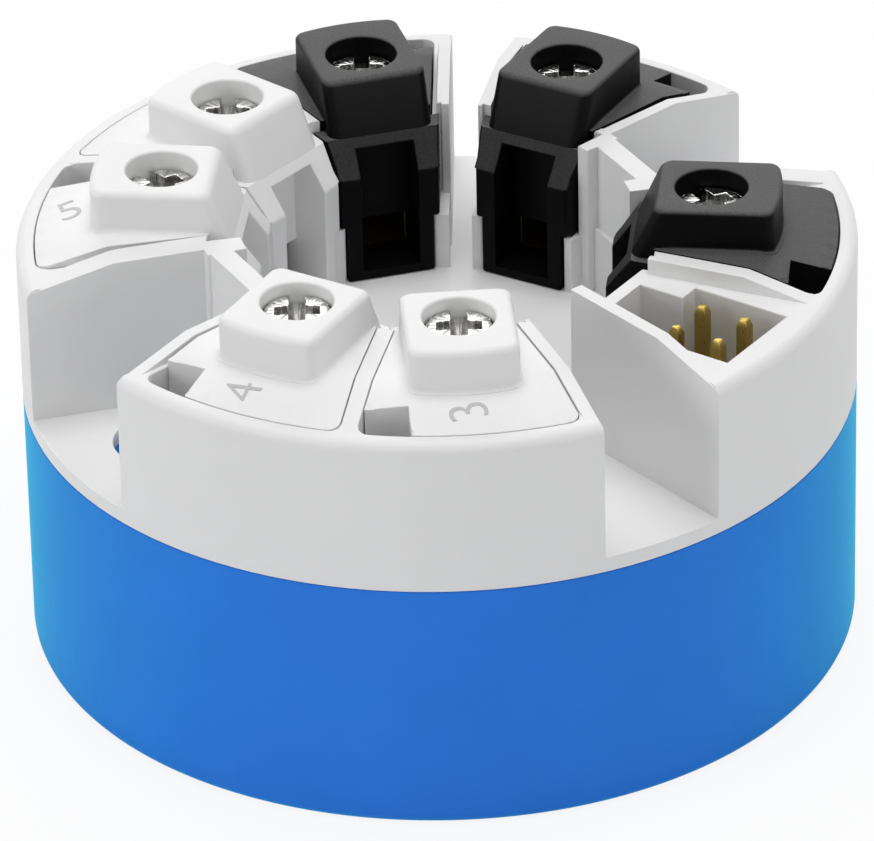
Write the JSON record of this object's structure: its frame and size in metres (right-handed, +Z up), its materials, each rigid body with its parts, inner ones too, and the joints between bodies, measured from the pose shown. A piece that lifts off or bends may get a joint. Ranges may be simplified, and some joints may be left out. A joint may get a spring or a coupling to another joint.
{
  "type": "temperature transmitter",
  "caption": "Round head transmitter disc: blue cup, white housing, inward-facing screw terminals, a four-pin service socket, mounting and wire gaps.",
  "frame": {"origin": "on the axis of the disc, at its underside", "axes": "+Z up along the axis, towards the screws; X through the two mounting holes; the wire gap beside the service socket faces -Y"},
  "size_m": [0.044, 0.044, 0.0258],
  "materials": {
    "blue_plastic": "satin moulded",
    "white_plastic": "satin moulded",
    "white_insert": "satin moulded",
    "dark_insert": "fine grained",
    "nickel_screw": "nickel plated",
    "clamp_steel": "zinc plated",
    "brass_frame": "plain",
    "gold_pin": "gold plated",
    "resin": "cast",
    "board": "lacquered",
    "chip_black": "matte",
    "header_black": "satin",
    "transformer": "taped",
    "ferrite": "dull",
    "can_metal": "plain"
  },
  "bodies": {
    "transmitter": {"base_cup": "blue_plastic", "resin_filling": "resin", "main_board": "board", "microcontroller": "chip_black", "isolation_transformer": "transformer", "signal_converter": "chip_black", "output_driver": "chip_black", "memory_chip": "chip_black", "inductor": "ferrite", "capacitor_1": "can_metal", "capacitor_2": "can_metal", "voltage_reference": "chip_black", "crystal": "can_metal", "pin_header_base": "header_black", "top_housing": "white_plastic", "service_pin_1": "gold_pin", "service_pin_2": "gold_pin", "service_pin_3": "gold_pin", "service_pin_4": "gold_pin", "insert_1": "dark_insert", "contact_frame_1": "brass_frame", "insert_2": "dark_insert", "contact_frame_2": "brass_frame", "insert_3": "white_insert", "contact_frame_3": "brass_frame", "insert_4": "white_insert", "contact_frame_4": "brass_frame", "insert_5": "white_insert", "contact_frame_5": "brass_frame", "insert_6": "white_insert", "contact_frame_6": "brass_frame", "insert_7": "dark_insert", "contact_frame_7": "brass_frame"},
    "clamp_1": {"clamp_plate_1": "clamp_steel"},
    "screw_1": {"terminal_screw_1": "nickel_screw"},
    "clamp_2": {"clamp_plate_2": "clamp_steel"},
    "screw_2": {"terminal_screw_2": "nickel_screw"},
    "clamp_3": {"clamp_plate_3": "clamp_steel"},
    "screw_3": {"terminal_screw_3": "nickel_screw"},
    "clamp_4": {"clamp_plate_4": "clamp_steel"},
    "screw_4": {"terminal_screw_4": "nickel_screw"},
    "clamp_5": {"clamp_plate_5": "clamp_steel"},
    "screw_5": {"terminal_screw_5": "nickel_screw"},
    "clamp_6": {"clamp_plate_6": "clamp_steel"},
    "screw_6": {"terminal_screw_6": "nickel_screw"},
    "clamp_7": {"clamp_plate_7": "clamp_steel"},
    "screw_7": {"terminal_screw_7": "nickel_screw"}
  },
  "joints": [
    {"name": "clamp_lift_1", "type": "slide", "parent": "transmitter", "child": "clamp_1", "axis": [0, 0, -1], "range_m": [-0.0006, 0.0019]},
    {"name": "screw_turn_1", "type": "hinge", "parent": "clamp_1", "child": "screw_1", "pos_m": [0.01221, 0.00763, 0.02], "axis": [0, 0, -1], "range_deg": [-432, 1368]},
    {"name": "clamp_lift_2", "type": "slide", "parent": "transmitter", "child": "clamp_2", "axis": [0, 0, -1], "range_m": [-0.0006, 0.0019]},
    {"name": "screw_turn_2", "type": "hinge", "parent": "clamp_2", "child": "screw_2", "pos_m": [0.01187, -0.00816, 0.02], "axis": [0, 0, -1], "range_deg": [-432, 1368]},
    {"name": "clamp_lift_3", "type": "slide", "parent": "transmitter", "child": "clamp_3", "axis": [0, 0, -1], "range_m": [-0.00025, 0.00225]},
    {"name": "screw_turn_3", "type": "hinge", "parent": "clamp_3", "child": "screw_3", "pos_m": [-0.0059, -0.01313, 0.02], "axis": [0, 0, -1], "range_deg": [-180, 1620]},
    {"name": "clamp_lift_4", "type": "slide", "parent": "transmitter", "child": "clamp_4", "axis": [0, 0, -1], "range_m": [-0.00025, 0.00225]},
    {"name": "screw_turn_4", "type": "hinge", "parent": "clamp_4", "child": "screw_4", "pos_m": [-0.01224, -0.00759, 0.02], "axis": [0, 0, -1], "range_deg": [-180, 1620]},
    {"name": "clamp_lift_5", "type": "slide", "parent": "transmitter", "child": "clamp_5", "axis": [0, 0, -1], "range_m": [-0.0006, 0.0019]},
    {"name": "screw_turn_5", "type": "hinge", "parent": "clamp_5", "child": "screw_5", "pos_m": [-0.01182, 0.00822, 0.02], "axis": [0, 0, -1], "range_deg": [-432, 1368]},
    {"name": "clamp_lift_6", "type": "slide", "parent": "transmitter", "child": "clamp_6", "axis": [0, 0, -1], "range_m": [-0.0006, 0.0019]},
    {"name": "screw_turn_6", "type": "hinge", "parent": "clamp_6", "child": "screw_6", "pos_m": [-0.00521, 0.01343, 0.02], "axis": [0, 0, -1], "range_deg": [-432, 1368]},
    {"name": "clamp_lift_7", "type": "slide", "parent": "transmitter", "child": "clamp_7", "axis": [0, 0, -1], "range_m": [-0.0006, 0.0019]},
    {"name": "screw_turn_7", "type": "hinge", "parent": "clamp_7", "child": "screw_7", "pos_m": [0.00319, 0.01404, 0.02], "axis": [0, 0, -1], "range_deg": [-432, 1368]}
  ],
  "couplings": [
    {"joint": "screw_turn_1", "follows": "clamp_lift_1", "rad_per_m": 12566},
    {"joint": "screw_turn_2", "follows": "clamp_lift_2", "rad_per_m": 12566},
    {"joint": "screw_turn_3", "follows": "clamp_lift_3", "rad_per_m": 12566},
    {"joint": "screw_turn_4", "follows": "clamp_lift_4", "rad_per_m": 12566},
    {"joint": "screw_turn_5", "follows": "clamp_lift_5", "rad_per_m": 12566},
    {"joint": "screw_turn_6", "follows": "clamp_lift_6", "rad_per_m": 12566},
    {"joint": "screw_turn_7", "follows": "clamp_lift_7", "rad_per_m": 12566}
  ]
}
